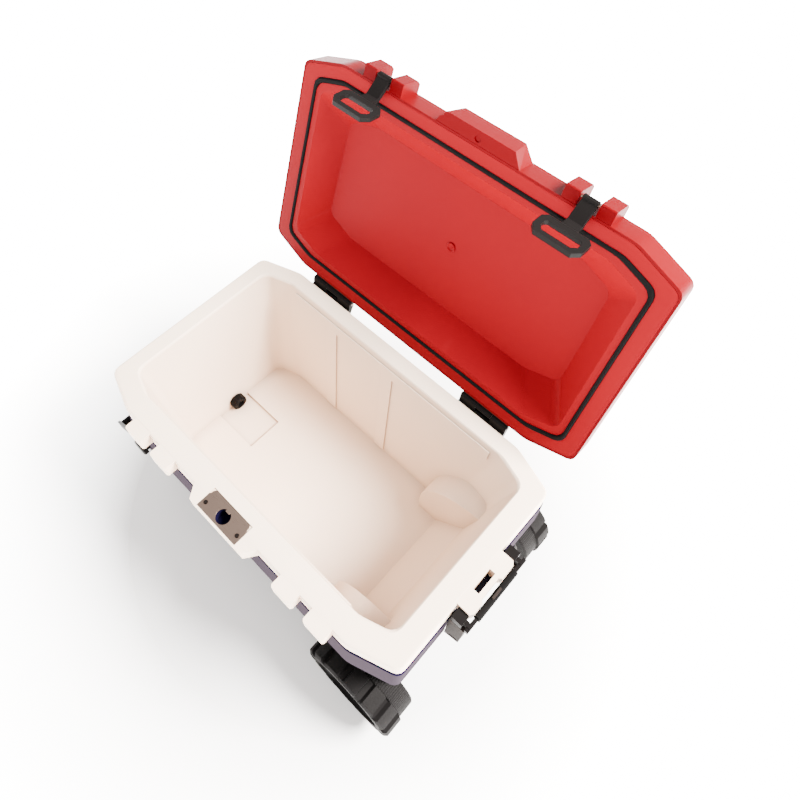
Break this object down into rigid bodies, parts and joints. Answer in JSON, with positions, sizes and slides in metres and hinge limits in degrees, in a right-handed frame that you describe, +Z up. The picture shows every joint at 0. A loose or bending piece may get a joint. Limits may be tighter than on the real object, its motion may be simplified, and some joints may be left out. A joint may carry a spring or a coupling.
{
  "type": "wheeled cooler",
  "caption": "Rolling hard-sided cooler with an insulated tub, hinged lid held by rubber pull latches, telescoping tow handle, swing-up carry handle, drain and treaded wheels.",
  "frame": {"origin": "on the ground, under the middle of the whole outline with the lid open as stored", "axes": "+X towards the wheel and tow-handle end, -Y towards the front with the latches, +Z up"},
  "size_m": [0.7615, 0.6274, 0.8107],
  "materials": {
    "body_blue": "moulded, satin gloss",
    "liner_white": "moulded, soft gloss",
    "foam_cream": "closed-cell foam, hidden",
    "lid_red": "moulded, satin gloss",
    "black_plastic": "fine moulded grain",
    "black_rubber": "matte",
    "stainless_steel": "brushed",
    "aluminium": "satin tube",
    "grey_plastic": "satin",
    "tyre_black": "moulded rubber tread"
  },
  "bodies": {
    "cooler": {"outer_shell": "body_blue", "foam_core": "foam_cream", "liner": "liner_white", "foot_front": "black_rubber", "foot_back": "black_rubber", "opener_plate": "stainless_steel", "opener_cup": "body_blue", "opener_screw_left": "stainless_steel", "opener_screw_right": "stainless_steel", "hinge_body_left": "black_plastic", "hinge_body_right": "black_plastic", "hinge_pin_left": "stainless_steel", "hinge_pin_right": "stainless_steel", "drain_fitting": "black_plastic", "drain_nut": "black_plastic", "drain_washer": "black_rubber", "carry_boss_front": "black_plastic", "carry_boss_back": "black_plastic", "tow_sleeve_front": "aluminium", "tow_sleeve_back": "aluminium", "tow_bracket_front": "grey_plastic", "tow_bracket_back": "grey_plastic", "axle": "stainless_steel", "axle_washer_front": "stainless_steel", "axle_washer_back": "stainless_steel"},
    "lid": {"lid_shell": "lid_red", "lid_liner": "lid_red", "lid_foam": "foam_cream", "lid_seal": "black_rubber", "hinge_lid_left": "black_plastic", "hinge_lid_right": "black_plastic", "latch_pin_left": "stainless_steel", "latch_pin_right": "stainless_steel"},
    "latch_left": {"latch_left": "black_plastic"},
    "latch_right": {"latch_right": "black_plastic"},
    "carry_handle": {"carry_handle": "black_plastic", "carry_grip": "black_rubber"},
    "tow_middle": {"tow_middle_tube_front": "aluminium", "tow_middle_tube_back": "aluminium"},
    "tow_handle": {"tow_inner_tube_front": "aluminium", "tow_inner_tube_back": "aluminium", "tow_crossbar": "black_plastic", "tow_grip": "black_rubber"},
    "tow_button": {"tow_release_button": "grey_plastic"},
    "wheel_front": {"tyre_front": "tyre_black", "hub_front": "black_plastic", "hub_cap_front": "black_plastic"},
    "wheel_back": {"tyre_back": "tyre_black", "hub_back": "black_plastic", "hub_cap_back": "black_plastic"},
    "drain_cap": {"drain_cap": "black_plastic"}
  },
  "joints": [
    {"name": "lid_hinge", "type": "hinge", "parent": "cooler", "child": "lid", "pos_m": [-0.0078, 0.136, 0.388], "axis": [1, 0, 0], "range_deg": [0, 108.4]},
    {"name": "latch_left_pivot", "type": "hinge", "parent": "lid", "child": "latch_left", "pos_m": [-0.1938, 0.27448, 0.80269], "axis": [1, 0, 0], "range_deg": [-55, 0]},
    {"name": "latch_right_pivot", "type": "hinge", "parent": "lid", "child": "latch_right", "pos_m": [0.1782, 0.27448, 0.80269], "axis": [1, 0, 0], "range_deg": [-55, 0]},
    {"name": "carry_handle_swing", "type": "hinge", "parent": "cooler", "child": "carry_handle", "pos_m": [-0.2478, -0.0807, 0.29], "axis": [0, 1, 0], "range_deg": [0, 72]},
    {"name": "tow_stage_one", "type": "slide", "parent": "cooler", "child": "tow_middle", "axis": [0.1908, 0, 0.9816], "range_m": [0, 0.25]},
    {"name": "tow_stage_two", "type": "slide", "parent": "tow_middle", "child": "tow_handle", "axis": [0.1908, 0, 0.9816], "range_m": [0, 0.25]},
    {"name": "tow_release", "type": "slide", "parent": "tow_handle", "child": "tow_button", "axis": [0, 0, -1], "range_m": [0, 0.003], "stiffness_N_per_m": 300, "springref_m": -0.002},
    {"name": "wheel_front_spin", "type": "hinge", "parent": "cooler", "child": "wheel_front", "pos_m": [0.2772, -0.2777, 0.095], "axis": [0, 1, 0], "continuous": true},
    {"name": "wheel_back_spin", "type": "hinge", "parent": "cooler", "child": "wheel_back", "pos_m": [0.2772, 0.1163, 0.095], "axis": [0, 1, 0], "continuous": true},
    {"name": "drain_cap_off", "type": "slide", "parent": "cooler", "child": "drain_cap", "axis": [-1, 0, 0], "range_m": [0, 0.03]}
  ],
  "couplings": [
    {"joint": "latch_left_pivot", "follows": "lid_hinge", "ratio": -0.50738},
    {"joint": "latch_right_pivot", "follows": "lid_hinge", "ratio": -0.50738}
  ]
}
